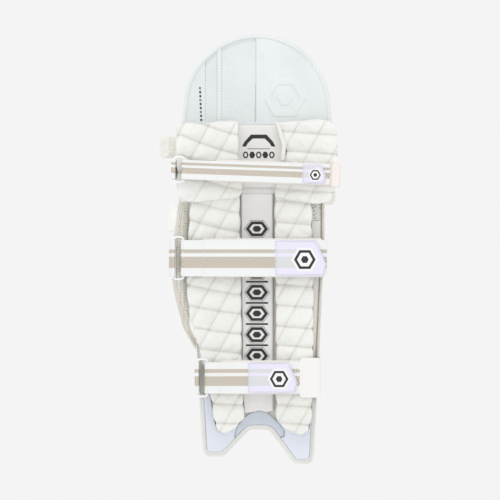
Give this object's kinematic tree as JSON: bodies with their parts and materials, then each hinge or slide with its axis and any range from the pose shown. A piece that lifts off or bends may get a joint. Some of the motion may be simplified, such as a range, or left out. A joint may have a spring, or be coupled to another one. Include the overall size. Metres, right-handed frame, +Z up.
{
  "type": "cricket leg pad",
  "caption": "Batting leg pad with quilted leg-side bolsters, padded knee cup with rolls, hinged flap above the knee, outer wing and hook-and-loop straps through rings.",
  "frame": {"origin": "on the spine band's leg face, in the middle of the shin, level with the top of the instep arch", "axes": "+Z up the shin, -Y towards the wearer's leg, +Y towards the ball, +X to the right seen from the leg side"},
  "size_m": [0.3024, 0.142, 0.7203],
  "materials": {
    "shell_cover": "satin",
    "cane": "matte",
    "foam": "matte",
    "lining": "matte",
    "spine": "satin",
    "quilt": "satin",
    "edge_binding": "satin",
    "instep_fabric": "matte",
    "vent_mesh": "matte",
    "spacer_mesh": "matte",
    "flap_panel": "satin",
    "stiffener": "matte",
    "webbing": "matte",
    "elastic_cuff": "matte",
    "ring_plastic": "gloss",
    "pull_tab": "satin",
    "hook_tape": "matte"
  },
  "bodies": {
    "shin_pad": {"shin_face_cover": "shell_cover", "cane_rods": "cane", "shin_foam_core": "foam", "back_lining": "lining", "spine_band": "spine", "left_bolster_cover": "quilt", "left_bolster_foam": "foam", "right_bolster_cover": "quilt", "right_bolster_foam": "foam", "left_instep_pad": "instep_fabric", "right_instep_pad": "instep_fabric", "arch_pad": "instep_fabric", "instep_binding": "shell_cover", "side_panel": "quilt", "side_mesh_patch": "vent_mesh", "side_piping": "shell_cover", "wing_cover": "shell_cover", "wing_foam": "foam", "wing_mesh_lining": "spacer_mesh", "wing_root_web": "shell_cover", "wing_side_roll": "shell_cover", "knee_cup_base": "foam", "knee_cup_panel": "spine", "left_knee_cushion_cover": "quilt", "left_knee_cushion_foam": "foam", "right_knee_cushion_cover": "quilt", "right_knee_cushion_foam": "foam", "knee_cushion_bindings": "edge_binding", "upper_knee_roll": "shell_cover", "middle_knee_roll": "shell_cover", "lower_knee_roll": "shell_cover", "knee_roll_cores": "foam", "knee_hinge_web": "shell_cover", "knee_strap_base": "webbing", "knee_strap_cuff": "elastic_cuff", "knee_ring_anchor": "webbing", "calf_strap_base": "webbing", "calf_ring_anchor": "webbing", "ankle_strap_base": "webbing", "ankle_strap_cuff": "elastic_cuff", "ankle_ring_anchor": "webbing"},
    "top_flap": {"flap_binding": "shell_cover", "flap_face_cover": "shell_cover", "flap_stiffener": "stiffener", "flap_foam_core": "foam", "flap_edge_panel": "flap_panel", "flap_rib_panel": "flap_panel", "flap_smooth_panel": "flap_panel"},
    "knee_ring": {"knee_ring": "ring_plastic"},
    "knee_strap_free": {"knee_strap_end": "webbing", "knee_strap_tab": "pull_tab", "knee_tab_hooks": "hook_tape"},
    "calf_ring": {"calf_ring": "ring_plastic"},
    "calf_strap_free": {"calf_strap_end": "webbing", "calf_strap_tab": "pull_tab", "calf_tab_hooks": "hook_tape"},
    "ankle_ring": {"ankle_ring": "ring_plastic"},
    "ankle_strap_free": {"ankle_strap_end": "webbing", "ankle_strap_tab": "pull_tab", "ankle_tab_hooks": "hook_tape"}
  },
  "joints": [
    {"name": "knee_flap_flex", "type": "hinge", "parent": "shin_pad", "child": "top_flap", "pos_m": [0, 0, 0.5], "axis": [1, 0, 0], "range_deg": [-10, 20], "stiffness_Nm_per_rad": 2},
    {"name": "knee_ring_swing", "type": "hinge", "parent": "shin_pad", "child": "knee_ring", "pos_m": [-0.13812, -0.07401, 0.43482], "axis": [-0.0349, 0, -0.9994], "range_deg": [0, 45]},
    {"name": "knee_strap_open", "type": "hinge", "parent": "knee_ring", "child": "knee_strap_free", "pos_m": [-0.12043, -0.07401, 0.43421], "axis": [-0.0349, 0, -0.9994], "range_deg": [0, 140]},
    {"name": "calf_ring_swing", "type": "hinge", "parent": "shin_pad", "child": "calf_ring", "pos_m": [-0.1392, -0.062, 0.288], "axis": [0, 0, -1], "range_deg": [0, 45]},
    {"name": "calf_strap_open", "type": "hinge", "parent": "calf_ring", "child": "calf_strap_free", "pos_m": [-0.1215, -0.062, 0.288], "axis": [0, 0, -1], "range_deg": [0, 140]},
    {"name": "ankle_ring_swing", "type": "hinge", "parent": "shin_pad", "child": "ankle_ring", "pos_m": [-0.09971, -0.05394, 0.0895], "axis": [0, 0, -1], "range_deg": [0, 45]},
    {"name": "ankle_strap_open", "type": "hinge", "parent": "ankle_ring", "child": "ankle_strap_free", "pos_m": [-0.08201, -0.05394, 0.0895], "axis": [0, 0, -1], "range_deg": [0, 140]}
  ]
}
